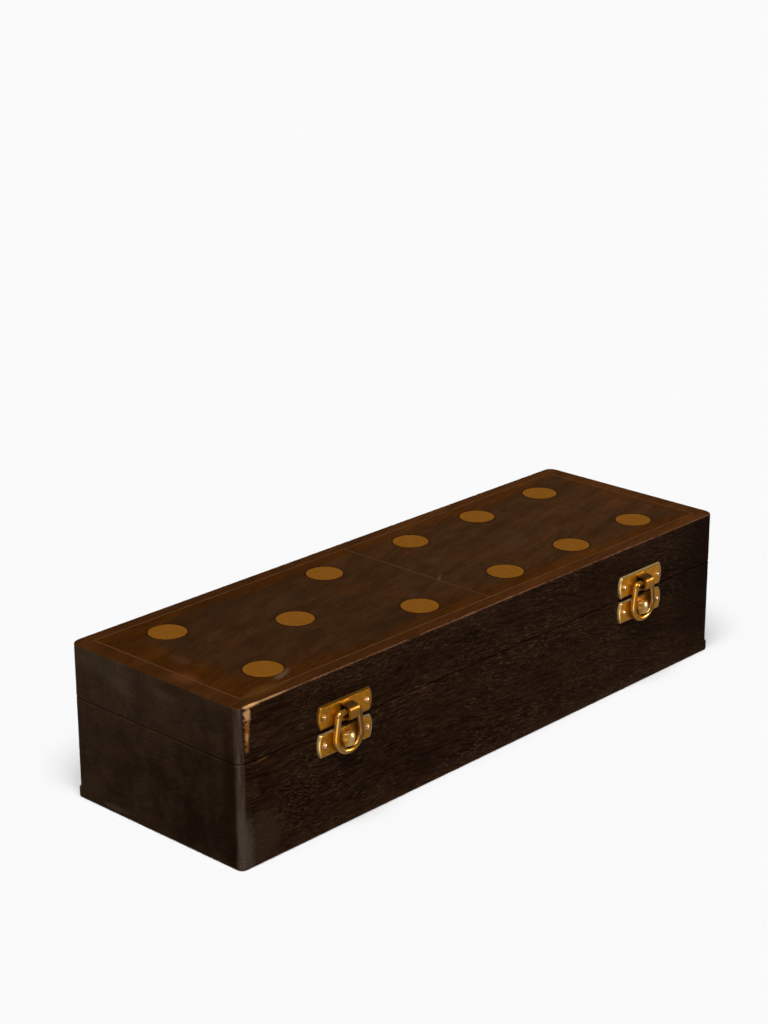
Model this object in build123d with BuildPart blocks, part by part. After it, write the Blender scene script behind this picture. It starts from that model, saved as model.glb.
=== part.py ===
"""Domino storage box: a mitred hardwood case whose lid turns on two butt hinges at the back
and is shut by two brass swing latches at the front.

Millimetres. The origin is the centre of the underside, +X runs along the length towards the
six-spot half, -Y is the front with the latches, and +Z is up.
"""

from build123d import *
import os

# Woodwork
box_length = 222.0
box_width = 72.0
box_height = 50.0
case_height = 32.6  # underside to the rim that the lid closes on
wall = 6.0
base_thickness = 3.0
top_thickness = 5.0
corner_radius = 3.2  # upright corners of the case and the lid
base_corner_radius = 2.0  # the base board keeps sharper corners
top_edge_radius = 0.7
arris = 0.35  # broken edge on each side of the seam and under the base
seam_gap = 0.1

# Inlay in the top
line_end_inset = 5.3  # end of the top to the outer side of the brass line
line_side_inset = 4.4  # long edge of the top to the outer side of the brass line
line_width = 0.6
line_depth = 1.0
spot_diameter = 11.8
spot_depth = 1.5
spot_end_margin = 24.6  # end of the top to the centre of the outer spots
spot_bar_margin = 20.1  # middle of the top to the centre of the inner spots
spot_side_margin = 15.6  # long edge of the top to the centre of the outer spots
inlay_fit = 0.02

# Swing latches
latch_end_margin = 41.3  # end of the box to the centre of a latch
plate_width = 22.4  # over the bowed ends
plate_height = 7.3
plate_bow = 1.0
plate_gap = 1.4  # between the two plates of a latch, centred on the seam
sheet = 0.8
sheet_edge = 0.2
plate_nail_margin = 2.4  # end of a plate to its nail

bridge_width = 3.6
bridge_reach = 4.7  # wood to the outer face of the bridge
bridge_rim_above = 1.0  # plate left above the bridge
bridge_rim_below = 1.5
bridge_slope = 0.4  # drop of the bridge's top leg on its way out
bridge_bend = 1.1  # bend radii are on the middle of the sheet or wire
bridge_low_bend = 0.7
bridge_root_bend = 0.5
bridge_root = 0.8  # stretch of the strip that lies in the plate above and below the bridge

bail_wire = 2.0
bail_play = 0.2  # wire to the plates that it hangs in front of
bail_seat_play = 0.1  # wire to the bottom of the bridge
bail_top_width = 10.0  # outside, at the bar in the bridge
bail_foot_width = 14.0  # outside, where the arms would meet the foot if it weren't rounded
bail_drop = 12.3  # bar to foot, centre to centre
bail_shoulder_bend = 1.2
bail_foot_bend = 4.9
bail_joint = 0.2  # the wire's two ends, hidden in the bridge

nose_top = 1.7  # plate's upper edge down to the nose
nose_radius = 2.9
nose_shoulder = 2.4  # half-width of the nose's flat top
nose_lip_radius = 2.4
nose_belly = 2.3  # height of the widest place above the mouth
nose_skin = 0.6
nose_shoulder_bend = 0.7
nose_belly_bend = 2.5
nose_clearance = 0.7  # wire to the mouth of the nose, when the latch is shut

# Nails for the latch plates and the hinges
nail_diameter = 1.0
nail_length = 5.0
nail_head_diameter = 2.0
nail_head_height = 0.6
nail_head_taper = 35.0  # degrees
nail_fit = 0.03

# Butt hinges
hinge_end_margin = 41.3
hinge_length = 20.0
hinge_leaf_height = 9.0
hinge_sheet = 0.8
hinge_leaf_corner = 1.0
knuckle_count = 3
knuckle_gap = 0.12
knuckle_relief = 0.2  # cut-back of a leaf round the other leaf's knuckle
hinge_pin_diameter = 1.3
hinge_pin_fit = 0.05
hinge_pin_proud = 0.3  # bevelled end of the pin beyond the last knuckle
hinge_nail_margin = 3.5  # end of a leaf to its nail

# Worked out
seam_z = case_height + seam_gap / 2
lid_rim_z = case_height + seam_gap
rail_top_z = box_height - top_thickness
latch_x = box_length / 2 - latch_end_margin
hinge_x = box_length / 2 - hinge_end_margin
upper_plate_z = seam_z + plate_gap / 2 + plate_height / 2
lower_plate_z = seam_z - plate_gap / 2 - plate_height / 2
plate_nails = plate_width / 2 - plate_nail_margin
hinge_nails = hinge_length / 2 - hinge_nail_margin
pin_bore_radius = hinge_pin_diameter / 2 + hinge_pin_fit
knuckle_radius = pin_bore_radius + hinge_sheet
knuckle_pitch = hinge_length / knuckle_count
hinge_nail_z = (hinge_leaf_height + knuckle_radius) / 2
nail_bore_radius = nail_diameter / 2 + nail_fit

bridge_low_z = upper_plate_z - plate_height / 2 + bridge_rim_below + sheet / 2
bridge_high_z = upper_plate_z + plate_height / 2 - bridge_rim_above - sheet / 2
bar_z = bridge_low_z + sheet / 2 + bail_seat_play + bail_wire / 2
bar_out = sheet + bail_play + bail_wire / 2
foot_z = bar_z - bail_drop
mouth_z = foot_z + bail_wire / 2 + nose_clearance
nose_top_z = lower_plate_z + plate_height / 2 - nose_top

front = Plane(origin=(0, -box_width / 2, 0), x_dir=(1, 0, 0), z_dir=(0, -1, 0))
back = Plane(origin=(0, box_width / 2, 0), x_dir=(-1, 0, 0), z_dir=(0, 1, 0))


def finish(builder, name):
    """Label a finished piece and write it."""
    builder.part.label = name
    export_step(builder.part, f"parts/{name}.step")


def side_outline(side, length, width, thickness):
    """Plan of one side of a mitred frame, cut at 45 degrees through the frame's corners."""
    x, y = length / 2, width / 2
    corners = {"front": ((-x, -y), (x, -y)), "back": ((x, y), (-x, y)),
               "left": ((-x, y), (-x, -y)), "right": ((x, -y), (x, y))}[side]
    inner = [(cx - thickness * (1 if cx > 0 else -1), cy - thickness * (1 if cy > 0 else -1))
             for cx, cy in reversed(corners)]
    return [*corners, *inner]


def drill(face_plane, spots, depth):
    """Nail holes square to a face, in the board or plate being built."""
    with BuildSketch(face_plane) as holes:
        with Locations(*spots):
            Circle(nail_bore_radius)
    extrude(holes.sketch, amount=-depth, mode=Mode.SUBTRACT)


def plate_nail_spots(z):
    """Where the nails of both latches go at one height, on the front plane."""
    return [(x + dx, z) for x in (-latch_x, latch_x) for dx in (-plate_nails, plate_nails)]


def hinge_nail_spots(z):
    """Where the nails of both hinges go at one height, on the back plane."""
    return [(x + dx, z) for x in (-hinge_x, hinge_x) for dx in (-hinge_nails, hinge_nails)]


def side_board(name, side, z_low, z_high, seam_on_top, latch_z, hinge_z):
    """One mitred board of the case or the lid, with its nail holes."""
    height = z_high - z_low
    with BuildPart() as board:
        with BuildSketch(Plane.XY.offset(z_low)):
            RectangleRounded(box_length, box_width, corner_radius)
        extrude(amount=height)
        rim = board.faces().sort_by(Axis.Z)[-1 if seam_on_top else 0]
        chamfer(rim.edges(), arris)
        with BuildSketch(Plane.XY.offset(z_low)):
            Rectangle(box_length - 2 * wall, box_width - 2 * wall)
        extrude(amount=height, mode=Mode.SUBTRACT)
        with BuildSketch(Plane.XY.offset(z_low)):
            Polygon(*side_outline(side, box_length, box_width, wall), align=None)
        extrude(amount=height, mode=Mode.INTERSECT)
        if side == "front":
            drill(front, plate_nail_spots(latch_z), nail_length + nail_fit - sheet)
        if side == "back":
            drill(back, hinge_nail_spots(hinge_z), nail_length + nail_fit - hinge_sheet)
    finish(board, name)


def base_board():
    with BuildPart() as board:
        with BuildSketch():
            RectangleRounded(box_length, box_width, base_corner_radius)
        extrude(amount=base_thickness)
        chamfer(board.faces().sort_by(Axis.Z)[0].edges(), arris)
    finish(board, "base_board")


# The inlay: spots and lines of brass, let into the top flush with its surface
half_centre = (box_length / 2 - spot_end_margin + spot_bar_margin) / 2
spot_pitch = half_centre - spot_bar_margin
spot_row = box_width / 2 - spot_side_margin
five_spots = [(-half_centre, 0)] + [
    (-half_centre + dx, dy) for dx in (-spot_pitch, spot_pitch) for dy in (-spot_row, spot_row)]
six_spots = [(half_centre + dx, dy)
             for dx in (-spot_pitch, 0, spot_pitch) for dy in (-spot_row, spot_row)]
line_length = box_length - 2 * line_end_inset
line_breadth = box_width - 2 * line_side_inset
bar_length = line_breadth - 2 * line_width


def top_board():
    with BuildPart() as board:
        with BuildSketch(Plane.XY.offset(rail_top_z)):
            RectangleRounded(box_length, box_width, corner_radius)
        extrude(amount=top_thickness)
        fillet(board.faces().sort_by(Axis.Z)[-1].edges(), top_edge_radius)
        with BuildSketch(Plane.XY.offset(box_height)):
            with Locations(*five_spots, *six_spots):
                Circle(spot_diameter / 2)
        extrude(amount=-spot_depth, mode=Mode.SUBTRACT)
        with BuildSketch(Plane.XY.offset(box_height)):
            Rectangle(line_length, line_breadth)
            Rectangle(line_length - 2 * line_width, line_breadth - 2 * line_width, mode=Mode.SUBTRACT)
            Rectangle(line_width, bar_length)
        extrude(amount=-line_depth, mode=Mode.SUBTRACT)
    finish(board, "lid_top_board")


def spot_inlay(name, spots):
    with BuildPart() as discs:
        with BuildSketch(Plane.XY.offset(box_height)):
            with Locations(*spots):
                Circle(spot_diameter / 2 - inlay_fit)
        extrude(amount=-spot_depth)
    finish(discs, name)


def border_stringing():
    """Four strips round the top, mitred where they meet."""
    with BuildPart() as strips:
        for side in ("front", "right", "back", "left"):
            with BuildSketch(Plane.XY.offset(box_height)):
                Polygon(*side_outline(side, line_length, line_breadth, line_width), align=None)
                offset(amount=-inlay_fit, mode=Mode.REPLACE)
            extrude(amount=-line_depth)
    finish(strips, "border_stringing")


def centre_bar():
    with BuildPart() as bar:
        with BuildSketch(Plane.XY.offset(box_height)):
            Rectangle(line_width - 2 * inlay_fit, bar_length)
        extrude(amount=-line_depth)
    finish(bar, "centre_bar")


def plate_blank(x, z):
    """Flat latch plate: straight long edges, bowed ends, softened outer edge and two nail holes."""
    straight, half = plate_width / 2 - plate_bow, plate_height / 2
    with BuildSketch(front) as outline:
        with BuildLine():
            Line((x - straight, z - half), (x + straight, z - half))
            ThreePointArc((x + straight, z - half), (x + plate_width / 2, z), (x + straight, z + half))
            Line((x + straight, z + half), (x - straight, z + half))
            ThreePointArc((x - straight, z + half), (x - plate_width / 2, z), (x - straight, z - half))
        make_face()
    with BuildPart() as blank:
        extrude(outline.sketch, amount=sheet)
        chamfer(blank.faces().sort_by(Axis.Y)[0].edges(), sheet_edge)
        drill(front.offset(sheet), [(x - plate_nails, z), (x + plate_nails, z)], sheet)
    return blank.part


def bail_plate(name, x):
    """Upper plate of a latch, with the bridge pressed out of it that holds the bail's bar."""
    low, high = bridge_low_z, bridge_high_z
    near, out = sheet / 2, bridge_reach - sheet / 2
    side = Plane(origin=(x, -box_width / 2, 0), x_dir=(0, -1, 0), z_dir=(-1, 0, 0))
    with BuildPart() as plate:
        add(plate_blank(x, upper_plate_z))
        with BuildSketch(front):
            with Locations((x, (low + high) / 2)):
                Rectangle(bridge_width, high - low)
        extrude(amount=sheet, mode=Mode.SUBTRACT)
        with BuildSketch(side):
            with BuildLine():
                FilletPolyline(
                    (near, high + bridge_root), (near, high), (out, high - bridge_slope),
                    (out, low), (near, low), (near, low - bridge_root),
                    radius=[bridge_root_bend, bridge_bend, bridge_low_bend, bridge_root_bend])
            trace(line_width=sheet)
        extrude(amount=bridge_width / 2, both=True)
    finish(plate, name)


def nose_half(x, inset, mouth_drop):
    """Half of the nose's profile beside its upright axis, drawn on the front plane."""
    top, mouth = nose_top_z - inset, mouth_z - mouth_drop
    shoulder, belly, lip = (x + r - inset for r in (nose_shoulder, nose_radius, nose_lip_radius))
    with BuildLine() as profile:
        FilletPolyline((x, top), (shoulder, top), (belly, mouth_z + nose_belly), (lip, mouth),
                       radius=[nose_shoulder_bend - inset / 2, nose_belly_bend - inset])
        Polyline((lip, mouth), (x, mouth), (x, top))
    make_face(profile.line)


def catch_plate(name, x):
    """Lower plate of a latch, with the hollow nose that the bail's foot snaps under."""
    axis = Axis((x, -box_width / 2 - sheet, 0), (0, 0, -1))
    with BuildPart() as plate:
        add(plate_blank(x, lower_plate_z))
        with BuildSketch(front.offset(sheet)):
            nose_half(x, 0, 0)
        revolve(axis=axis, revolution_arc=180)
        with BuildSketch(front.offset(sheet)):
            nose_half(x, nose_skin, nose_skin)
        revolve(axis=axis, revolution_arc=180, mode=Mode.SUBTRACT)
        with BuildSketch(front):
            nose_half(x, nose_skin, 0)
            mirror(about=Plane.YZ.offset(x))
        extrude(amount=sheet, mode=Mode.SUBTRACT)
    finish(plate, name)


def bail(name, x):
    """Bent wire loop: its bar lies in the bridge and its foot hangs under the nose."""
    wire_radius = bail_wire / 2
    top, foot = bail_top_width / 2 - wire_radius, bail_foot_width / 2 - wire_radius
    hang = Plane(origin=(x, -box_width / 2 - bar_out, bar_z), x_dir=(1, 0, 0), z_dir=(0, -1, 0))
    with BuildPart() as loop:
        with BuildLine(hang) as path:
            FilletPolyline(
                (-bail_joint / 2, 0), (-top, 0), (-foot, -bail_drop),
                (foot, -bail_drop), (top, 0), (bail_joint / 2, 0),
                radius=[bail_shoulder_bend, bail_foot_bend, bail_foot_bend, bail_shoulder_bend])
        with BuildSketch(Plane(origin=path.line @ 0, z_dir=path.line % 0)):
            Circle(wire_radius)
        sweep(path=path.line)
    finish(loop, name)


def nail():
    """Nail with a low tapered head, seated on the plane z = 0."""
    with BuildPart() as pin:
        with BuildSketch():
            Circle(nail_head_diameter / 2)
        extrude(amount=nail_head_height, taper=nail_head_taper)
        with BuildSketch():
            Circle(nail_diameter / 2)
        extrude(amount=-nail_length)
    return pin.part


def nails(name, face_plane, spots):
    """A group of nails with their heads on one plane."""
    pin = nail()
    with BuildPart() as group:
        with Locations(face_plane):
            with Locations(*spots):
                add(pin)
    finish(group, name)


def hinge_section(x):
    """Plane across a hinge: local x runs outwards from the wood, local y is the height."""
    return Plane(origin=(x, box_width / 2, seam_z), x_dir=(0, 1, 0), z_dir=(1, 0, 0))


def hinge_leaf(name, x, up, first_knuckle):
    """Leaf of a hinge, flat on the back and curled into every second knuckle round the pin.

    up is -1 for the case leaf, which hangs below the seam, and 1 for the lid leaf.
    """
    start = x - hinge_length / 2
    with BuildPart() as leaf:
        for i in range(knuckle_count):
            own = i % 2 == first_knuckle
            near = 0 if own else knuckle_radius + knuckle_relief
            with BuildSketch(hinge_section(start + i * knuckle_pitch)):
                with Locations((hinge_sheet / 2, up * (hinge_leaf_height + near) / 2)):
                    Rectangle(hinge_sheet, hinge_leaf_height - near)
            extrude(amount=knuckle_pitch)
            if own:
                low = knuckle_gap / 2 if i > 0 else 0
                high = knuckle_gap / 2 if i < knuckle_count - 1 else 0
                with BuildSketch(hinge_section(start + i * knuckle_pitch + low)):
                    with Locations((knuckle_radius, 0)):
                        Circle(knuckle_radius)
                extrude(amount=knuckle_pitch - low - high)
        with BuildSketch(hinge_section(start)):
            with Locations((knuckle_radius, 0)):
                Circle(pin_bore_radius)
        extrude(amount=hinge_length, mode=Mode.SUBTRACT)
        far_corners = leaf.edges().filter_by(Axis.Y).group_by(Axis.Z)[0 if up < 0 else -1]
        fillet(far_corners, hinge_leaf_corner)
        drill(back.offset(hinge_sheet),
              [(-x + dx, seam_z + up * hinge_nail_z) for dx in (-hinge_nails, hinge_nails)], hinge_sheet)
    finish(leaf, name)


def hinge_pin(name, x):
    with BuildPart() as pin:
        with BuildSketch(hinge_section(x)):
            with Locations((knuckle_radius, 0)):
                Circle(hinge_pin_diameter / 2)
        extrude(amount=hinge_length / 2 + hinge_pin_proud, both=True)
        chamfer(pin.edges().filter_by(GeomType.CIRCLE), hinge_pin_proud)
    finish(pin, name)


os.makedirs("parts", exist_ok=True)
plate_face, hinge_face = front.offset(sheet), back.offset(hinge_sheet)
hinge_low, hinge_high = seam_z - hinge_nail_z, seam_z + hinge_nail_z

base_board()
for side in ("front", "back", "left", "right"):
    side_board(f"case_{side}_board", side, base_thickness, case_height, True,
               lower_plate_z, hinge_low)
    side_board(f"lid_{side}_rail", side, lid_rim_z, rail_top_z, False, upper_plate_z, hinge_high)

top_board()
spot_inlay("five_spot_inlay", five_spots)
spot_inlay("six_spot_inlay", six_spots)
border_stringing()
centre_bar()

for hand, sign in (("left", -1), ("right", 1)):
    bail_plate(f"{hand}_bail_plate", sign * latch_x)
    catch_plate(f"{hand}_catch_plate", sign * latch_x)
    bail(f"{hand}_bail", sign * latch_x)
    hinge_leaf(f"{hand}_hinge_case_leaf", sign * hinge_x, -1, 0)
    hinge_leaf(f"{hand}_hinge_lid_leaf", sign * hinge_x, 1, 1)
    hinge_pin(f"{hand}_hinge_pin", sign * hinge_x)

nails("bail_plate_nails", plate_face, plate_nail_spots(upper_plate_z))
nails("catch_plate_nails", plate_face, plate_nail_spots(lower_plate_z))
nails("hinge_lid_nails", hinge_face, hinge_nail_spots(hinge_high))
nails("hinge_case_nails", hinge_face, hinge_nail_spots(hinge_low))
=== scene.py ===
"""Looks of a domino storage box: dark oiled hardwood, inlaid brass spots and lines, and small
pressed brass latches and hinges.

Metres, in the frame of the solids: +X along the length towards the six-spot half, -Y the front
with the latches, +Z up. Shading sizes are in millimetres, so every material first turns its
object coordinates into them.
"""

from math import radians

import bpy
from mathutils import Euler, Matrix, Vector


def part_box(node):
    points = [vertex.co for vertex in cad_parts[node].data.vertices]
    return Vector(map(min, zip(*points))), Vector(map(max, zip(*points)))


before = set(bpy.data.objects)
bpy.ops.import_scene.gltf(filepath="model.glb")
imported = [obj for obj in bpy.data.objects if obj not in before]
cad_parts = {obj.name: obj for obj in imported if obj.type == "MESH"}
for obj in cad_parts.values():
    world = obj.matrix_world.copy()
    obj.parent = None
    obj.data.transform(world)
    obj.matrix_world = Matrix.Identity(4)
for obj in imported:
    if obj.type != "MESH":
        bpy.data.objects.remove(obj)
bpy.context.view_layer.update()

MM = 0.001


def corners_in_mm(node):
    """The lowest and the highest corner of a node."""
    return [Vector(corner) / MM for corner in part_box(node)]


# Box sizes that the grain, the wear and the inlay's rims follow
half_length, half_width, box_height = corners_in_mm("lid_top_board")[1]
front_low, front_high = corners_in_mm("case_front_board")
wall = front_high.y - front_low.y
seam_height = front_high.z
seam_gap = 0.1
line_edge = corners_in_mm("border_stringing")[1]
five_low, five_high = corners_in_mm("five_spot_inlay")
spot_radius = 5.9
spot_row = five_high.y - spot_radius
spot_column = (five_high.x - five_low.x) / 2 - spot_radius
half_centre = -(five_high.x + five_low.x) / 2

# Latch sizes; nails lie at a distance along x from a latch's middle, and a height from the seam
plate_low, plate_high = corners_in_mm("right_catch_plate")
latch_x = (plate_low.x + plate_high.x) / 2
half_plate_length, half_plate_height = 11.2, 3.65
plate_middle = 4.35  # from the seam
plate_bow = 1.0
plate_nail = (8.8, plate_middle)
hinge_nail = (6.5, 5.25)
dome_square, rim_square = 1.35, 1.2  # squared radius of a nail's dome, and where it ends
plate_face_y = -half_width - 0.8
bridge_skin_y = -half_width - 3.9  # inner face of the bridge's front
bridge_middle_z = 37.25

# Camera, at the photograph's viewing angle
azimuth, elevation, camera_roll = radians(-46.70), radians(19.36), radians(-0.22)
camera_distance = 0.7486
camera_across, camera_up = -0.00999, 0.06624
camera_lens = 81.28  # on 36 mm along the picture's longer side

# Colours of the top, linear
field_brown = (0.0370, 0.0150, 0.0048)
field_warm = (0.0500, 0.0145, 0.0012)
stain_red = (0.0640, 0.0180, 0.0030)
border_red = (0.0530, 0.0168, 0.0033)
rim_dark = (0.0100, 0.0040, 0.0015)
rubbed_orange = (0.0950, 0.0330, 0.0060)
rubbed_red = (0.0950, 0.0290, 0.0100)
rubbed_pink = (0.0650, 0.0320, 0.0160)
scuff_tan = (0.1100, 0.0600, 0.0320)
scratch_tan = (0.1000, 0.0550, 0.0300)
arris_cream = (0.1900, 0.0920, 0.0520)

# Colours of the upright faces, linear
front_brown = (0.0405, 0.0160, 0.0059)
front_dark = (0.0070, 0.0019, 0.0004)
front_fleck = (0.0860, 0.0480, 0.0255)
front_foot = (0.0520, 0.0260, 0.0130)
end_light = (0.0440, 0.0235, 0.0122)
end_dark = (0.0100, 0.0034, 0.0006)
end_fleck = (0.0650, 0.0400, 0.0260)
end_top_grey = (0.0600, 0.0400, 0.0240)
# the next two paint a sheen at the corners, the first along with wear
corner_grey = (0.0820, 0.0540, 0.0400)
corner_sheen = (0.1100, 0.0840, 0.0720)
corner_cream = (0.7000, 0.3600, 0.1500)
corner_orange = (0.3600, 0.1250, 0.0270)
inside_brown = (0.0600, 0.0300, 0.0155)
satin_brown = (1.00, 0.60, 0.35)

# Colours of the brass, linear
latch_gold = (0.540, 0.214, 0.004)
latch_copper = (0.310, 0.130, 0.008)
wire_gold = (0.420, 0.225, 0.054)
# the next is paler gold for wear and for a painted highlight
worn_highlight_gold = (0.950, 0.670, 0.270)
nail_gold = (0.980, 0.700, 0.400)
# the next two paint shade as well as patina and tarnish
patina_and_shade = (0.135, 0.063, 0.017)
tarnish = (0.030, 0.012, 0.004)
spot_ochre = (0.2190, 0.0800, 0.0060)
spot_brown = (0.1950, 0.0700, 0.0050)
line_copper = (0.1040, 0.0440, 0.0125)
bar_copper = (0.0740, 0.0310, 0.0105)

# Colours of the studio, linear
background_white = (1.0, 1.0, 1.0)
floor_white = (0.93, 0.93, 0.93)
low_left_grey = (0.55, 0.55, 0.56)
low_right_grey = (0.27, 0.27, 0.27)
room_grey = (0.035, 0.035, 0.037)


class Shading:
    """Adds shader nodes to one tree and joins them. A value may be a number or a node's output."""

    def __init__(self, tree):
        self.tree = tree

    def node(self, kind, **settings):
        made = self.tree.nodes.new(kind)
        for name, value in settings.items():
            setattr(made, name, value)
        return made

    def feed(self, socket, value):
        if isinstance(value, bpy.types.NodeSocket):
            self.tree.links.new(value, socket)
        elif socket.type == "RGBA" and len(value) == 3:
            socket.default_value = (*value, 1.0)
        else:
            socket.default_value = value

    def calc(self, operation, *values):
        made = self.node("ShaderNodeMath", operation=operation)
        for socket, value in zip(made.inputs, values):
            self.feed(socket, value)
        return made.outputs[0]

    def vector(self, operation, *values):
        made = self.node("ShaderNodeVectorMath", operation=operation)
        for socket, value in zip(made.inputs, values):
            self.feed(socket, value)
        return made.outputs[0]

    def length(self, vector):
        made = self.node("ShaderNodeVectorMath", operation="LENGTH")
        self.feed(made.inputs[0], vector)
        return made.outputs["Value"]

    def split(self, vector):
        made = self.node("ShaderNodeSeparateXYZ")
        self.feed(made.inputs[0], vector)
        return made.outputs

    def join(self, x, y, z):
        made = self.node("ShaderNodeCombineXYZ")
        for socket, value in zip(made.inputs, (x, y, z)):
            self.feed(socket, value)
        return made.outputs[0]

    def noise(self, position, stretch=(1.0, 1.0, 1.0), scale=1.0, detail=2.0, roughness=0.5):
        made = self.node("ShaderNodeTexNoise")
        settings = {"Vector": self.vector("MULTIPLY", position, stretch), "Scale": scale,
                    "Detail": detail, "Roughness": roughness}
        for name, value in settings.items():
            self.feed(made.inputs[name], value)
        return made.outputs["Fac"]

    def between(self, value, low, high):
        """0 at low, 1 at high, smooth in between; low may be the larger of the two."""
        made = self.node("ShaderNodeMapRange", interpolation_type="SMOOTHSTEP")
        for name, number in (("Value", value), ("From Min", low), ("From Max", high)):
            self.feed(made.inputs[name], number)
        return made.outputs[0]

    def ramp(self, mask, low, high):
        """low where a mask is 0, high where it's 1."""
        return self.calc("MULTIPLY_ADD", mask, high - low, low)

    def opposite(self, mask):
        return self.calc("SUBTRACT", 1.0, mask)

    def both(self, *masks):
        product = masks[0]
        for mask in masks[1:]:
            product = self.calc("MULTIPLY", product, mask)
        return product

    def mix(self, factor, first, second, blend="MIX"):
        made = self.node("ShaderNodeMix", data_type="RGBA", blend_type=blend)
        sockets = (made.inputs[0], *made.inputs[6:8])  # the factor, and the two colours
        for socket, value in zip(sockets, (factor, first, second)):
            self.feed(socket, value)
        return made.outputs[2]

    def shade_by(self, colour, factor):
        """The colour times a plain factor."""
        return self.mix(1.0, colour, self.join(factor, factor, factor), "MULTIPLY")

    def group(self, tree, **values):
        made = self.node("ShaderNodeGroup", node_tree=tree)
        for name, value in values.items():
            self.feed(made.inputs[name], value)
        return made.outputs

    def bump(self, height, distance, strength=1.0):
        made = self.node("ShaderNodeBump")
        self.feed(made.inputs["Height"], height)
        made.inputs["Distance"].default_value = distance
        made.inputs["Strength"].default_value = strength
        return made.outputs["Normal"]


def start_group(name, inputs, outputs):
    """A node group with named sockets: its tree, its shading helper, its inputs and its results."""
    tree = bpy.data.node_groups.new(name, "ShaderNodeTree")
    for label, kind in inputs.items():
        tree.interface.new_socket(label, in_out="INPUT", socket_type=f"NodeSocket{kind}")
    for label, kind in outputs.items():
        tree.interface.new_socket(label, in_out="OUTPUT", socket_type=f"NodeSocket{kind}")
    shade = Shading(tree)
    given = shade.node("NodeGroupInput").outputs
    result = shade.node("NodeGroupOutput").inputs
    return tree, shade, given, result


# Shared effects, each for a position in millimetres

def wood_figure():
    """Grain of a fine dark hardwood that runs along x.

    Blotches go from -1 to 1, and the rest from 0 to 1.
    """
    tree, shade, given, result = start_group(
        "wood figure", {"Position": "Vector"},
        {"Bands": "Float", "Streaks": "Float", "Flecks": "Float", "Pores": "Float",
         "Blotches": "Float"})
    position = given["Position"]
    wander = shade.noise(position, (0.020, 0.05, 0.05), detail=1.0)
    sway = shade.ramp(wander, -6.0, 6.0)
    grain = shade.vector("ADD", position, shade.join(0.0, sway, sway))
    bands = shade.noise(grain, (0.007, 0.14, 0.14), detail=3.0, roughness=0.55)
    streaks = shade.noise(grain, (0.10, 1.25, 1.25), detail=3.0, roughness=0.6)
    dashes = shade.noise(shade.vector("ADD", grain, (31.0, 17.0, 43.0)), (0.36, 2.8, 2.8),
                         detail=2.0, roughness=0.6)
    pits = shade.noise(shade.vector("ADD", grain, (7.0, 3.0, 5.0)), (0.20, 2.1, 2.1), detail=1.0)
    blotches = shade.noise(position, (0.07, 0.12, 0.12), detail=4.0, roughness=0.65)
    shade.feed(result["Bands"], bands)
    shade.feed(result["Streaks"], streaks)
    shade.feed(result["Flecks"], shade.between(dashes, 0.52, 0.68))
    shade.feed(result["Pores"], shade.between(pits, 0.56, 0.68))
    shade.feed(result["Blotches"], shade.ramp(shade.between(blotches, 0.30, 0.70), -1.0, 1.0))
    return tree


def arrises():
    """How far a point of the outside is from the top edges, the upright corners and the foot.

    Nearer is the distance to the nearest upright face. Past Diagonal is 0 on the front and the
    back, 1 on the ends, and changes at the mitres.
    """
    tree, shade, given, result = start_group(
        "distance to the arrises", {"Position": "Vector"},
        {"Top": "Float", "Upright": "Float", "Foot": "Float", "Nearer": "Float",
         "Past Diagonal": "Float"})
    x, y, z = shade.split(given["Position"])
    from_end = shade.calc("SUBTRACT", half_length, shade.calc("ABSOLUTE", x))
    from_side = shade.calc("SUBTRACT", half_width, shade.calc("ABSOLUTE", y))
    from_top = shade.calc("SUBTRACT", box_height, z)
    nearer = shade.calc("MINIMUM", from_end, from_side)
    past_diagonal = shade.between(shade.calc("SUBTRACT", from_side, from_end), -0.3, 0.3)
    shade.feed(result["Top"], shade.calc("MAXIMUM", from_top, nearer))
    shade.feed(result["Upright"], shade.calc("MAXIMUM", from_end, from_side))
    shade.feed(result["Foot"], shade.calc("MAXIMUM", z, nearer))
    shade.feed(result["Nearer"], nearer)
    shade.feed(result["Past Diagonal"], past_diagonal)
    return tree


def wear_and_painted_light_mark():
    """A ragged patch, 1 in the middle and 0 outside: a stretched and turned ball about a place."""
    tree, shade, given, result = start_group(
        "wear and painted light mark", {"Position": "Vector", "Place": "Vector", "Turn": "Vector",
                      "Reach": "Vector", "Ragged": "Float"}, {"Mask": "Float"})
    mapping = shade.node("ShaderNodeMapping", vector_type="TEXTURE")
    for socket, name in zip(mapping.inputs, ("Position", "Place", "Turn", "Reach")):
        shade.feed(socket, given[name])
    away = shade.length(mapping.outputs[0])
    tears = shade.noise(given["Position"], scale=0.9, detail=4.0, roughness=0.7)
    torn = shade.calc("SUBTRACT", tears, 0.5)
    distance = shade.calc("MULTIPLY_ADD", torn, given["Ragged"], away)
    shade.feed(result["Mask"], shade.between(distance, 1.0, 0.25))
    return tree


def rubbed_edge():
    """1 at distance 0, fading out at a ragged width, and broken into runs along its length."""
    tree, shade, given, result = start_group(
        "rubbed edge", {"Position": "Vector", "Distance": "Float", "Width": "Float",
                        "Patches": "Float"}, {"Mask": "Float"})
    ragged = shade.noise(given["Position"], scale=1.1, detail=3.0, roughness=0.7)
    reach = shade.calc("MULTIPLY", given["Width"], shade.calc("MULTIPLY", ragged, 2.0))
    edge = shade.between(given["Distance"], reach, shade.calc("MULTIPLY", reach, 0.35))
    runs = shade.noise(given["Position"], scale=0.13, detail=3.0, roughness=0.65)
    none = shade.calc("ADD", given["Patches"], 0.10)
    full = shade.calc("SUBTRACT", given["Patches"], 0.10)
    shade.feed(result["Mask"], shade.both(edge, shade.between(runs, none, full)))
    return tree


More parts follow.
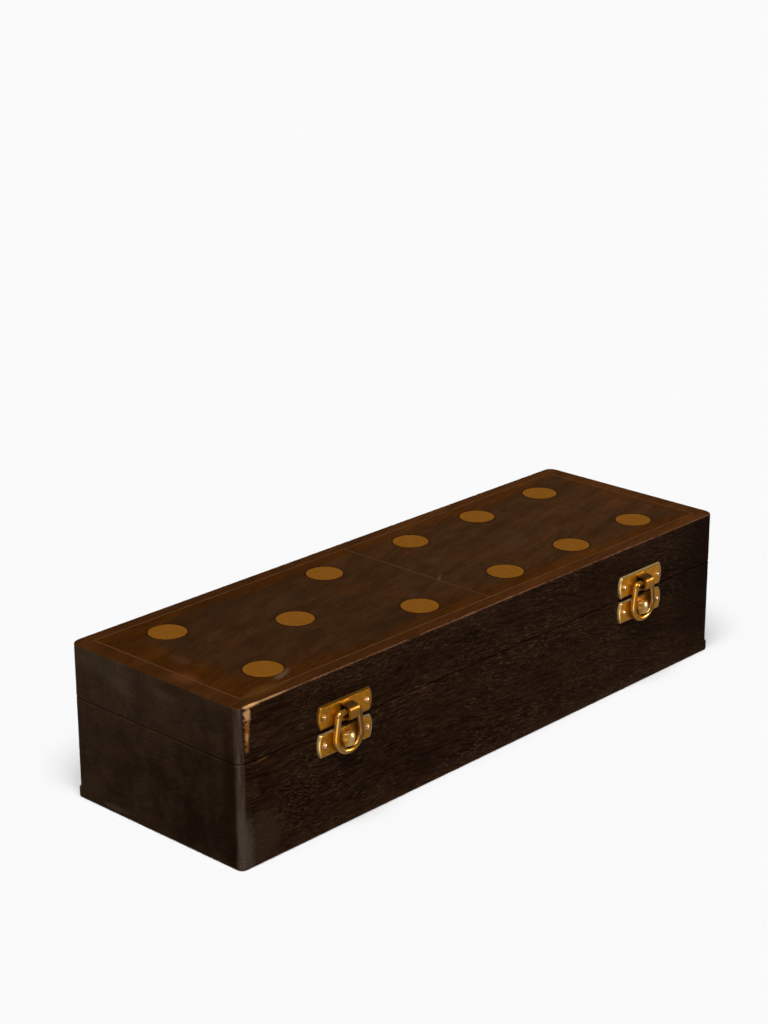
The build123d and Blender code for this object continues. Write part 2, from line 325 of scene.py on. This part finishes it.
def handled_brass():
    """Cloudy tarnish and fine hairlines of handled sheet brass."""
    tree, shade, given, result = start_group(
        "handled brass", {"Position": "Vector"}, {"Clouds": "Float", "Hairlines": "Float"})
    position = given["Position"]
    clouds = shade.noise(position, scale=0.55, detail=4.0, roughness=0.6)
    hairlines = shade.noise(position, (0.5, 9.0, 9.0), detail=3.0, roughness=0.7)
    shade.feed(result["Clouds"], clouds)
    shade.feed(result["Hairlines"], hairlines)
    return tree


figure_group = wood_figure()
arris_group = arrises()
mark_group = wear_and_painted_light_mark()
rubbed_group = rubbed_edge()
brass_group = handled_brass()


# Worn marks, painted sheen and shade: strength, tint, place, reach, turn in degrees, and raggedness

top_marks = (
    (0.75, rubbed_orange, (-97.0, -31.0, box_height), (10.0, 3.6, 3.0), (0, 0, 0), 1.2),
    (0.80, scuff_tan, (-85.5, -27.0, box_height), (6.5, 2.0, 3.0), (0, 0, 22), 1.0),
    (0.80, rubbed_red, (-106.0, -9.0, box_height), (4.5, 6.5, 3.0), (0, 0, 0), 1.0),
    (0.45, rubbed_pink, (-98.0, 2.0, box_height), (3.0, 6.0, 3.0), (0, 0, -10), 1.4),
    (0.65, scratch_tan, (1.5, -9.0, box_height), (4.2, 0.7, 3.0), (0, 0, 35), 0.8),
    (0.35, rubbed_pink, (12.0, 2.5, box_height), (6.0, 4.0, 3.0), (0, 0, 20), 1.4),
    (0.40, rubbed_pink, (41.0, -6.0, box_height), (12.0, 5.0, 3.0), (0, 0, 25), 1.5),
    (0.35, rubbed_pink, (-15.0, -13.0, box_height), (6.0, 2.0, 3.0), (0, 0, 25), 1.2),
    (0.30, rubbed_pink, (-50.0, 11.0, box_height), (14.0, 4.0, 3.0), (0, 0, 20), 1.4),
)

front_marks = (
    (0.65, front_foot, (-102.0, -half_width, 8.0), (11.0, 4.0, 12.0), (0, 0, 0), 1.0),
    # painted shade: the front darker towards its right end
    (0.85, front_dark, (120.0, -half_width, 34.0), (48.0, 9.0, 56.0), (0, 0, 0), 0.4),
    # painted sheen low on the front beside the near corner
    (0.52, corner_sheen, (-109.0, -half_width, 5.0), (4.2, 3.0, 17.0), (0, 0, 0), 0.6),
    (0.45, front_dark, (-101.5, -half_width, 24.0), (5.0, 4.0, 7.0), (0, 0, 0), 1.0),
    (0.85, corner_orange, (-107.7, -half_width, 42.8), (1.2, 2.5, 6.4), (0, 0, 0), 2.4),
    (0.60, corner_orange, (-108.0, -half_width, 37.0), (1.0, 2.0, 1.6), (0, 0, 0), 1.0),
    (1.00, corner_cream, (-107.6, -half_width, 47.6), (1.5, 2.5, 3.3), (0, 0, 0), 2.0),
    (0.60, corner_cream, (-107.9, -half_width, 40.8), (0.9, 2.0, 1.8), (0, 0, 0), 1.2),
    (0.25, corner_orange, (-103.0, -half_width, 32.1), (4.2, 1.5, 0.40), (0, -3, 0), 1.4),
    (0.35, corner_grey, (-102.3, -half_width, 33.9), (2.4, 1.5, 0.40), (0, -6, 0), 0.8),
)

end_marks = (
    # a grey band along the top of the end
    (0.35, end_top_grey, (-half_length, 22.0, 47.0), (3.0, 20.0, 6.5), (4, 0, 0), 0.7),
    (0.45, end_fleck, (-half_length, 14.0, 42.5), (3.0, 9.0, 3.2), (12, 0, 0), 1.5),
    (0.40, end_fleck, (-half_length, -5.0, 45.0), (3.0, 7.0, 2.2), (0, 0, 0), 1.5),
    (0.55, end_fleck, (-half_length, 18.0, 1.8), (3.0, 8.5, 1.2), (0, 0, 0), 0.7),
    (0.35, end_light, (-half_length, 28.0, 6.0), (3.0, 8.0, 6.0), (0, 0, 0), 1.0),
    (0.65, end_dark, (-half_length, -31.5, 20.0), (3.0, 3.6, 34.0), (0, 0, 0), 0.5),
)

arris_marks = (
    (1.00, corner_cream, (-106.0, -half_width, box_height), (5.0, 0.95, 1.1), (0, 0, 0), 0.6),
    (0.65, corner_cream, (-98.0, -half_width, box_height), (10.0, 0.62, 0.70), (0, 0, 0), 0.3),
    (0.75, arris_cream, (-15.0, -half_width, box_height), (7.0, 0.7, 0.7), (0, 0, 0), 0.6),
    (0.75, arris_cream, (4.5, -half_width, box_height), (3.0, 0.7, 0.7), (0, 0, 0), 0.6),
    (0.50, arris_cream, (-80.0, -half_width, box_height), (14.0, 0.6, 0.6), (0, 0, 0), 0.5),
)


def marked(shade, position, colour, marks):
    """Lays worn marks, painted sheen and painted shade over a colour."""
    for strength, tint, place, reach, turn, ragged in marks:
        mask = shade.group(mark_group, Position=position, Place=place, Reach=reach,
                           Turn=tuple(map(radians, turn)), Ragged=ragged)["Mask"]
        colour = shade.mix(shade.calc("MULTIPLY", mask, strength), colour, tint)
    return colour


# Faces of the box, each with a colour and a relief for a position in millimetres

def from_spots(shade, x, y):
    """Distance from the middle of the nearest spot."""
    off_centre = shade.calc("SUBTRACT", shade.calc("ABSOLUTE", x), half_centre)
    in_half = shade.calc("ABSOLUTE", off_centre)
    across = shade.calc("ABSOLUTE", y)
    from_column = shade.calc("SUBTRACT", in_half, spot_column)
    from_row = shade.calc("SUBTRACT", across, spot_row)
    corner_spot = shade.length(shade.join(from_column, from_row, 0.0))
    six_half = shade.calc("GREATER_THAN", x, 0.0)
    middle_row = shade.calc("SUBTRACT", across, shade.calc("MULTIPLY", six_half, spot_row))
    middle_spot = shade.length(shade.join(in_half, middle_row, 0.0))
    return shade.calc("MINIMUM", corner_spot, middle_spot)


def top_face():
    """Brown field, warmer towards the edges and the left end, with a red border past the line."""
    tree, shade, given, result = start_group(
        "inlaid top", {"Position": "Vector"}, {"Colour": "Color", "Relief": "Float"})
    position = given["Position"]
    x, y, _ = shade.split(position)
    grain = shade.node("ShaderNodeMapping")
    shade.feed(grain.inputs["Vector"], position)
    grain.inputs["Rotation"].default_value = (0.0, 0.0, radians(-13))
    figure = shade.group(figure_group, Position=grain.outputs[0])

    # Field with a cloudy, warmer edge, and the border
    nearer = shade.group(arris_group, Position=position)["Nearer"]
    cloud = shade.noise(position, (0.035, 0.07, 0.07), detail=3.0, roughness=0.6)
    wandering = shade.calc("MULTIPLY_ADD", cloud, 16.0, shade.calc("SUBTRACT", nearer, 8.0))
    leftward = shade.calc("MULTIPLY", shade.between(x, -60.0, -100.0), 7.0)
    wandering = shade.calc("SUBTRACT", wandering, leftward)
    colour = shade.mix(shade.between(wandering, 14.0, 4.0), field_brown, field_warm)
    stains = shade.noise(shade.vector("ADD", position, (90.0, 40.0, 0.0)), (0.045, 0.08, 0.08),
                         detail=4.0, roughness=0.65)
    stain = shade.calc("MULTIPLY", shade.between(stains, 0.50, 0.66), 0.24)
    colour = shade.mix(stain, colour, stain_red)
    past_end = shade.between(shade.calc("ABSOLUTE", x), line_edge.x - 0.3, line_edge.x)
    past_side = shade.between(shade.calc("ABSOLUTE", y), line_edge.y - 0.3, line_edge.y)
    colour = shade.mix(shade.calc("MAXIMUM", past_end, past_side), colour, border_red)

    # Grain, a lighter right half that paints the top's sheen, flecks and worn marks
    bands = shade.ramp(shade.between(figure["Bands"], 0.30, 0.70), 0.85, 1.15)
    streaks = shade.ramp(shade.between(figure["Streaks"], 0.30, 0.70), 0.81, 1.19)
    blotches = shade.calc("MULTIPLY_ADD", figure["Blotches"], 0.16, 1.0)
    rightward = shade.ramp(shade.between(x, -60.0, 80.0), 0.92, 1.20)
    colour = shade.shade_by(colour, shade.both(bands, streaks, blotches, rightward))
    colour = shade.mix(shade.calc("MULTIPLY", figure["Flecks"], 0.16), colour, rubbed_pink)
    colour = marked(shade, position, colour, top_marks)

    # Dark rims of the spots, and the dull back arris
    spot_rim = shade.between(from_spots(shade, x, y), spot_radius + 0.8, spot_radius + 0.2)
    back = shade.between(y, half_width - 0.9, half_width - 0.4)
    dull = shade.calc("MAXIMUM", shade.both(spot_rim, 0.55), shade.both(back, 0.75))
    colour = shade.mix(dull, colour, rim_dark)
    relief = shade.calc("MULTIPLY_ADD", figure["Pores"], -0.5, figure["Streaks"])
    shade.feed(result["Colour"], colour)
    shade.feed(result["Relief"], relief)
    return tree


def front_face():
    """Dark brown with pale flecks, on grain that bends downwards towards the right."""
    tree, shade, given, result = start_group(
        "front and back faces", {"Position": "Vector"}, {"Colour": "Color", "Relief": "Float"})
    position = given["Position"]
    x, y, z = shade.split(position)
    level_x, bend = -115.0, 0.00045  # the grain is level there, and drops with the square
    from_level = shade.calc("SUBTRACT", x, level_x)
    drop = shade.calc("MULTIPLY", shade.calc("POWER", from_level, 2.0), bend)
    figure = shade.group(figure_group, Position=shade.join(x, y, shade.calc("ADD", z, drop)))
    streaks = shade.calc("MULTIPLY", shade.between(figure["Streaks"], 0.33, 0.68), 0.70)
    bands = shade.between(figure["Bands"], 0.3, 0.7)
    tone = shade.calc("MULTIPLY_ADD", bands, 0.30, streaks)
    colour = shade.mix(tone, front_dark, front_brown)
    foot = shade.calc("MULTIPLY", shade.between(z, 6.0, 1.0), 0.30)
    colour = shade.mix(foot, colour, front_foot)
    patches = shade.noise(position, (0.035, 0.10, 0.10), detail=3.0, roughness=0.6)
    patches = shade.ramp(shade.between(patches, 0.36, 0.60), 0.24, 0.78)
    colour = shade.mix(shade.calc("MULTIPLY", figure["Flecks"], patches), colour, front_fleck)
    colour = shade.mix(shade.calc("MULTIPLY", figure["Pores"], 0.55), colour, front_dark)
    blotches = shade.calc("MULTIPLY_ADD", figure["Blotches"], 0.12, 1.0)
    colour = marked(shade, position, shade.shade_by(colour, blotches), front_marks)
    relief = shade.calc("SUBTRACT", figure["Streaks"], figure["Pores"])
    shade.feed(result["Colour"], colour)
    shade.feed(result["Relief"], relief)
    return tree


def end_face():
    """Greyer brown with smudges and upright scratches, lighter towards the top and the back:
    partly tone, partly a painted sheen.
    """
    tree, shade, given, result = start_group(
        "end faces", {"Position": "Vector"}, {"Colour": "Color", "Relief": "Float"})
    position = given["Position"]
    x, y, z = shade.split(position)
    figure = shade.group(figure_group, Position=shade.join(y, x, z))
    backward = shade.ramp(shade.between(y, -30.0, 34.0), -0.10, 0.20)
    rising = shade.calc("MULTIPLY_ADD", shade.between(z, 15.0, 48.0), 0.44, backward)
    streaks = shade.calc("MULTIPLY", shade.between(figure["Streaks"], 0.30, 0.70), 0.16)
    smudges = shade.noise(position, (0.10, 0.10, 0.075), detail=5.0, roughness=0.65)
    clouds = shade.calc("MULTIPLY", shade.between(smudges, 0.32, 0.68), 0.34)
    tone = shade.calc("ADD", shade.calc("ADD", rising, streaks), clouds)
    colour = shade.mix(tone, end_dark, end_light)
    scratches = shade.noise(position, (1.0, 1.9, 0.16), detail=3.0, roughness=0.6)
    scratches = shade.between(scratches, 0.56, 0.70)
    high = shade.both(shade.between(z, 20.0, 40.0), shade.between(y, -12.0, 12.0))
    colour = shade.mix(shade.both(scratches, high, 0.45), colour, end_fleck)
    colour = shade.mix(shade.calc("MULTIPLY", figure["Flecks"], 0.16), colour, end_fleck)
    colour = shade.mix(shade.calc("MULTIPLY", figure["Pores"], 0.30), colour, end_dark)
    blotches = shade.calc("MULTIPLY_ADD", figure["Blotches"], 0.15, 1.0)
    colour = marked(shade, position, shade.shade_by(colour, blotches), end_marks)
    relief = shade.calc("MULTIPLY_ADD", figure["Pores"], -0.6, figure["Streaks"])
    shade.feed(result["Colour"], colour)
    shade.feed(result["Relief"], relief)
    return tree


top_group = top_face()
front_group = front_face()
end_group = end_face()


# Wood

def start_material(name):
    """A material with its shader, and the object's position in millimetres."""
    material = bpy.data.materials.new(name)
    material.use_nodes = True
    material.node_tree.nodes.clear()
    shade = Shading(material.node_tree)
    shader = shade.node("ShaderNodeBsdfPrincipled")
    output = shade.node("ShaderNodeOutputMaterial")
    shade.feed(output.inputs["Surface"], shader.outputs["BSDF"])
    place = shade.node("ShaderNodeTexCoord").outputs["Object"]
    position = shade.vector("MULTIPLY", place, (1 / MM, 1 / MM, 1 / MM))
    return material, shade, shader, position


def worn_and_sheened_corners(shade, position, edges, colour):
    """Greyed upright corners, wear and painted sheen, most at the near one; a thin foot line."""
    x, y, _ = shade.split(position)
    corner = shade.between(edges["Upright"], 2.7, 1.1)
    nearward = shade.calc("SUBTRACT", 0.0, shade.calc("ADD", x, y))
    kept = shade.ramp(shade.between(nearward, 130.0, 140.0), 0.15, 0.93)
    streaks = shade.noise(position, (1.7, 1.7, 0.09), detail=4.0, roughness=0.7)
    mottle = shade.calc("MULTIPLY_ADD", streaks, 3.4, -0.95)
    # wear and a painted sheen on the corners
    colour = shade.mix(shade.both(corner, kept, mottle), colour, corner_grey)
    foot = shade.group(rubbed_group, Position=position, Distance=edges["Foot"], Width=0.8,
                       Patches=0.60)
    return shade.mix(shade.calc("MULTIPLY", foot["Mask"], 0.75), colour, front_foot)


def seam_lip_highlight(shade, position, edges, colour):
    """Painted highlight on the lips of the seam, lighter in runs, and more so on the ends."""
    z = shade.split(position)[2]
    seam_middle = seam_height + seam_gap / 2
    lip = shade.calc("ABSOLUTE", shade.calc("SUBTRACT", z, seam_middle))
    lip = shade.between(lip, 0.9, 0.35)
    runs = shade.noise(position, (0.10, 0.10, 0.10), detail=3.0, roughness=0.65)
    runs = shade.between(runs, 0.35, 0.60)
    lit = shade.ramp(edges["Past Diagonal"], 0.05, 0.35)
    return shade.shade_by(colour, shade.calc("MULTIPLY_ADD", shade.both(lip, runs), lit, 1.0))


def rubbed_top_edge(shade, position, edges, colour):
    """Bare wood in runs along the front arris of the top, most at the near corner."""
    y = shade.split(position)[1]
    rubbed = shade.group(rubbed_group, Position=position, Distance=edges["Top"], Width=0.46,
                         Patches=0.58)
    frontward = shade.between(y, -half_width + 3.5, -half_width + 1.0)
    colour = shade.mix(shade.both(rubbed["Mask"], frontward, 0.75), colour, arris_cream)
    return marked(shade, position, colour, arris_marks)


def inside_mask(shade, position):
    """1 on the inner faces of the box, 0 on the outside and on the top."""
    x, y, z = shade.split(position)
    inner_length, inner_width = half_length - wall, half_width - wall
    across = shade.between(shade.calc("ABSOLUTE", x), inner_length + 0.3, inner_length + 0.1)
    along = shade.between(shade.calc("ABSOLUTE", y), inner_width + 0.3, inner_width + 0.1)
    return shade.both(across, along, shade.between(z, box_height - 2.0, box_height - 3.0))


def hardwood(name, with_top):
    """Oiled hardwood: grain by face, worn arrises with painted sheen and highlights, and the
    inlaid top's field on its board.
    """
    material, shade, shader, position = start_material(name)
    front = shade.group(front_group, Position=position)
    end = shade.group(end_group, Position=position)
    edges = shade.group(arris_group, Position=position)
    colour = shade.mix(edges["Past Diagonal"], front["Colour"], end["Colour"])
    relief = shade.calc("MAXIMUM", front["Relief"], end["Relief"])
    colour = worn_and_sheened_corners(shade, position, edges, colour)
    colour = seam_lip_highlight(shade, position, edges, colour)
    inner = shade.shade_by(inside_brown, shade.ramp(relief, 0.75, 1.25))
    colour = shade.mix(inside_mask(shade, position), colour, inner)

    if with_top:
        z = shade.split(position)[2]
        top = shade.group(top_group, Position=position)
        on_top = shade.between(z, box_height - 0.55, box_height - 0.15)
        colour = shade.mix(on_top, colour, top["Colour"])
        relief = shade.calc("ADD", shade.both(on_top, top["Relief"]),
                            shade.both(shade.opposite(on_top), relief))
        colour = rubbed_top_edge(shade, position, edges, colour)

    shade.feed(shader.inputs["Base Color"], colour)
    shader.inputs["Specular IOR Level"].default_value = 0.015
    shader.inputs["Specular Tint"].default_value = (*satin_brown, 1.0)
    shade.feed(shader.inputs["Roughness"], shade.ramp(relief, 0.45, 0.65))
    shade.feed(shader.inputs["Normal"], shade.bump(relief, 0.06 * MM, 0.7))
    return material


# Brass

def from_latch(shade, position):
    """Distance along x from the middle of the nearer latch, less than 0 on its left."""
    x = shade.split(position)[0]
    return shade.calc("SUBTRACT", x, shade.calc("MULTIPLY", shade.calc("SIGN", x), latch_x))


def from_seam(shade, position):
    """Height above or below the seam."""
    z = shade.split(position)[2]
    return shade.calc("ABSOLUTE", shade.calc("SUBTRACT", z, seam_height))


def plate_relief(shade, position):
    """The turned-down rim of the latch plates: 0 at their bowed outline, 1 further in."""
    along = shade.calc("ABSOLUTE", from_latch(shade, position))
    across = shade.calc("SUBTRACT", from_seam(shade, position), plate_middle)
    share = shade.calc("DIVIDE", across, half_plate_height)
    curve = shade.calc("MULTIPLY", shade.calc("POWER", share, 2.0), plate_bow)
    from_end = shade.calc("SUBTRACT", half_plate_length, shade.calc("ADD", along, curve))
    from_edge = shade.calc("SUBTRACT", half_plate_height, shade.calc("ABSOLUTE", across))
    return shade.both(shade.between(from_end, -0.1, 1.0), shade.between(from_edge, -0.1, 0.55))


def nail_dome(shade, position, place):
    """Height of a round nail head, for the nails at one place from their latch and the seam."""
    along, across = place
    along = shade.calc("SUBTRACT", shade.calc("ABSOLUTE", from_latch(shade, position)), along)
    across = shade.calc("SUBTRACT", from_seam(shade, position), across)
    away = shade.length(shade.join(along, across, 0.0))
    square = shade.calc("MINIMUM", shade.calc("POWER", away, 2.0), rim_square)
    return shade.calc("SQRT", shade.calc("SUBTRACT", dome_square, square))


def bridge_recess(shade, position):
    """1 on everything inside the bridge of the bail plate."""
    _, y, z = shade.split(position)
    along = shade.calc("ABSOLUTE", from_latch(shade, position))
    height = shade.calc("ABSOLUTE", shade.calc("SUBTRACT", z, bridge_middle_z))
    inside = shade.between(y, bridge_skin_y - 0.05, bridge_skin_y + 0.25)
    return shade.both(shade.between(along, 2.6, 1.9), inside, shade.between(height, 2.3, 1.7))


def latch_tone(shade, position, colour):
    """Paler and smoother on most rims and the noses' right sides: wear and a painted highlight.

    The bridges are dull, with tops and insides darkened by patina, tarnish and painted shade.
    The rim of the upper left plate and the left side of each nose are darker: painted shade.
    """
    x, y, z = shade.split(position)
    lower = shade.calc("LESS_THAN", z, seam_height)
    raised = shade.between(y, plate_face_y - 0.4, plate_face_y - 1.4)
    nose = shade.both(raised, lower)
    bridge = shade.both(raised, shade.opposite(lower))

    rim = shade.opposite(plate_relief(shade, position))
    rims_in_highlight = shade.calc("MAXIMUM", lower, shade.calc("GREATER_THAN", x, 0.0))
    # painted shade on the upper left rim and noses' left sides; wear and painted highlight on the
    # rest
    shaded_rim = shade.both(rim, shade.opposite(rims_in_highlight), 0.70)
    rightward = shade.between(from_latch(shade, position), -2.2, -0.4)
    shaded_nose_side = shade.both(nose, shade.opposite(rightward), 0.55)
    polish_and_highlight = shade.calc("MAXIMUM", shade.both(rim, rims_in_highlight), shade.both(nose, rightward, 0.65))
    colour = shade.mix(polish_and_highlight, colour, worn_highlight_gold)
    colour = shade.mix(shade.calc("ADD", shaded_nose_side, shaded_rim), colour, patina_and_shade)

    # patina on the bridges, and painted shade with tarnish on their tops and inside them
    top = shade.between(z, bridge_middle_z + 1.0, bridge_middle_z + 2.0)
    colour = shade.mix(shade.both(bridge, shade.ramp(top, 0.30, 0.90)), colour, patina_and_shade)
    recess = shade.both(bridge_recess(shade, position), 0.85)
    dark = shade.calc("MAXIMUM", shade.both(bridge, top, 0.35), recess)
    return shade.mix(dark, colour, tarnish), polish_and_highlight


def wire_tone(shade, position, colour):
    """The bail's right arm is rougher, and darker than its left arm and foot: painted shade."""
    z = shade.split(position)[2]
    rightward = shade.between(from_latch(shade, position), 2.0, 4.5)
    # painted shade on the bail's right arm
    arm = shade.both(rightward, shade.between(z, 25.0, 28.0), 0.80)
    return shade.mix(arm, colour, patina_and_shade), shade.calc("SUBTRACT", 0.0, arm)


def brass(name, bright, dull, roughness, relief=None, tone=None):
    """Pressed and lacquered brass with tarnish clouds and hairlines.

    relief adds a height in millimetres; tone gives the colour again, with its painted highlight
    and shade, and how far it's polished.
    """
    material, shade, shader, position = start_material(name)
    marks = shade.group(brass_group, Position=position)
    cloud = shade.between(marks["Clouds"], 0.38, 0.66)
    colour = shade.mix(cloud, bright, dull)
    rough = shade.ramp(cloud, roughness, roughness + 0.10)
    height = shade.calc("MULTIPLY", marks["Hairlines"], 0.006)
    if tone:
        colour, polish_and_highlight = tone(shade, position, colour)
        rough = shade.calc("MULTIPLY_ADD", polish_and_highlight, -0.16, rough)
    if relief:
        height = shade.calc("ADD", height, relief(shade, position))
    shade.feed(shader.inputs["Base Color"], colour)
    shade.feed(shader.inputs["Roughness"], rough)
    shade.feed(shader.inputs["Normal"], shade.bump(height, MM))
    shader.inputs["Metallic"].default_value = 0.7
    shader.inputs["Specular IOR Level"].default_value = 0.1
    shader.inputs["Coat Weight"].default_value = 0.06
    shader.inputs["Coat Roughness"].default_value = 0.10
    return material


def inlay(name, bright, dull):
    """Brass let into the top and sanded flush with it, so it's dull and even."""
    material, shade, shader, position = start_material(name)
    marks = shade.group(brass_group, Position=position)
    cloud = shade.between(marks["Clouds"], 0.3, 0.7)
    shade.feed(shader.inputs["Base Color"], shade.mix(cloud, bright, dull))
    shade.feed(shader.inputs["Roughness"], shade.ramp(cloud, 0.50, 0.60))
    shade.feed(shader.inputs["Normal"], shade.bump(marks["Hairlines"], 0.006 * MM, 0.4))
    shader.inputs["Metallic"].default_value = 0.10
    shader.inputs["Specular IOR Level"].default_value = 0.05
    return material


def dress(material, *names):
    """Gives CAD nodes their finish."""
    for name in names:
        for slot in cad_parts[name].material_slots:
            slot.material = material


side_wood = hardwood("side hardwood", with_top=False)
latch_brass = brass("latch brass", latch_gold, latch_copper, 0.34, plate_relief, latch_tone)
hinge_brass = brass("hinge brass", latch_gold, latch_copper, 0.34)
wire_brass = brass("wire brass", wire_gold, latch_gold, 0.13, tone=wire_tone)
latch_nail = brass("latch nail", nail_gold, wire_gold, 0.20,
                   lambda shade, position: nail_dome(shade, position, plate_nail))
hinge_nail_brass = brass("hinge nail", nail_gold, wire_gold, 0.20,
                         lambda shade, position: nail_dome(shade, position, hinge_nail))

dress(hardwood("top hardwood", with_top=True), "lid_top_board")
dress(side_wood, "base_board", *(
    f"{part}_{side}_{board}" for part, board in (("case", "board"), ("lid", "rail"))
    for side in ("front", "back", "left", "right")))
dress(inlay("spot brass", spot_ochre, spot_brown), "five_spot_inlay", "six_spot_inlay")
dress(inlay("line brass", line_copper, bar_copper), "border_stringing")
dress(inlay("bar brass", bar_copper, bar_copper), "centre_bar")
for hand in ("left", "right"):
    dress(latch_brass, f"{hand}_bail_plate", f"{hand}_catch_plate")
    dress(hinge_brass, f"{hand}_hinge_case_leaf", f"{hand}_hinge_lid_leaf", f"{hand}_hinge_pin")
    dress(wire_brass, f"{hand}_bail")
dress(latch_nail, "bail_plate_nails", "catch_plate_nails")
dress(hinge_nail_brass, "hinge_case_nails", "hinge_lid_nails")


# Studio

def floor(size, colour):
    """A matt floor that the camera sees, and that gives the object no light and no reflection."""
    mesh = bpy.data.meshes.new("floor")
    reach = size / 2
    corners = [(-reach, -reach, 0), (reach, -reach, 0), (reach, reach, 0), (-reach, reach, 0)]
    mesh.from_pydata(corners, [], [(0, 1, 2, 3)])
    made = bpy.data.objects.new("floor", mesh)
    bpy.context.collection.objects.link(made)
    material = bpy.data.materials.new("floor paint")
    material.use_nodes = True
    shader = material.node_tree.nodes["Principled BSDF"]
    shader.inputs["Base Color"].default_value = (*colour, 1.0)
    shader.inputs["Roughness"].default_value = 1.0
    shader.inputs["Specular IOR Level"].default_value = 0.0
    mesh.materials.append(material)
    made.visible_diffuse = False
    made.visible_glossy = False
    made.visible_shadow = False


def sun(name, direction, strength, spread, shine_only=False):
    """A soft, distant light: where it comes from, and its spread in degrees.

    With shine_only it shows in reflections and adds nothing to the diffuse light.
    """
    light = bpy.data.lights.new(name, "SUN")
    light.energy = strength
    light.angle = radians(spread)
    made = bpy.data.objects.new(name, light)
    made.rotation_euler = Vector(direction).to_track_quat("Z", "Y").to_euler()
    made.visible_diffuse = not shine_only
    bpy.context.collection.objects.link(made)


def softbox(name, place, size, power):
    """A small rectangle of light, aimed at the box and seen only in its reflections."""
    light = bpy.data.lights.new(name, "AREA")
    light.shape = "RECTANGLE"
    light.size, light.size_y = size
    light.energy = power
    made = bpy.data.objects.new(name, light)
    made.location = place
    box_middle = Vector((0, 0, 0.03))
    made.rotation_euler = (Vector(place) - box_middle).to_track_quat("Z", "Y").to_euler()
    made.visible_camera = False
    made.visible_diffuse = False
    bpy.context.collection.objects.link(made)


def surroundings(background, below_left, below_right, above):
    """White behind the object; a dim room for light and reflections, lighter low on the left."""
    world = bpy.data.worlds.new("studio")
    bpy.context.scene.world = world
    world.use_nodes = True
    world.node_tree.nodes.clear()
    shade = Shading(world.node_tree)
    x, y, z = shade.split(shade.node("ShaderNodeTexCoord").outputs["Generated"])
    rightward = shade.calc("MULTIPLY", shade.calc("SUBTRACT", x, y), 0.707)
    below = shade.mix(shade.between(rightward, 0.45, 0.90), below_left, below_right)
    room = shade.mix(shade.between(z, -0.1, 0.25), below, above)
    seen = shade.node("ShaderNodeLightPath").outputs["Is Camera Ray"]
    source = shade.node("ShaderNodeBackground")
    shade.feed(source.inputs["Color"], shade.mix(seen, room, background))
    output = shade.node("ShaderNodeOutputWorld")
    shade.feed(output.inputs["Surface"], source.outputs[0])


floor(30.0, floor_white)
surroundings(background_white, low_left_grey, low_right_grey, room_grey)
sun("overhead", (-0.33, -0.30, 1.0), strength=3.4, spread=40)
sun("table on the left", (-0.72, -0.62, -0.30), strength=0.85, spread=42, shine_only=True)
softbox("left glint", (-0.75, -0.35, 0.45), size=(0.12, 0.30), power=1.2)
softbox("right glint", (0.62, -0.66, 0.14), size=(0.29, 0.29), power=5.2)

camera_data = bpy.data.cameras.new("camera")
camera_data.lens = camera_lens
camera = bpy.data.objects.new("camera", camera_data)
tilt = Euler((radians(90) - elevation, 0, azimuth)).to_matrix()
turn = tilt @ Matrix.Rotation(camera_roll, 3, "Z")
camera.rotation_euler = turn.to_euler()
camera.location = turn @ Vector((camera_across, camera_up, camera_distance))
bpy.context.collection.objects.link(camera)
bpy.context.scene.camera = camera
bpy.context.scene.view_settings.view_transform = "Standard"
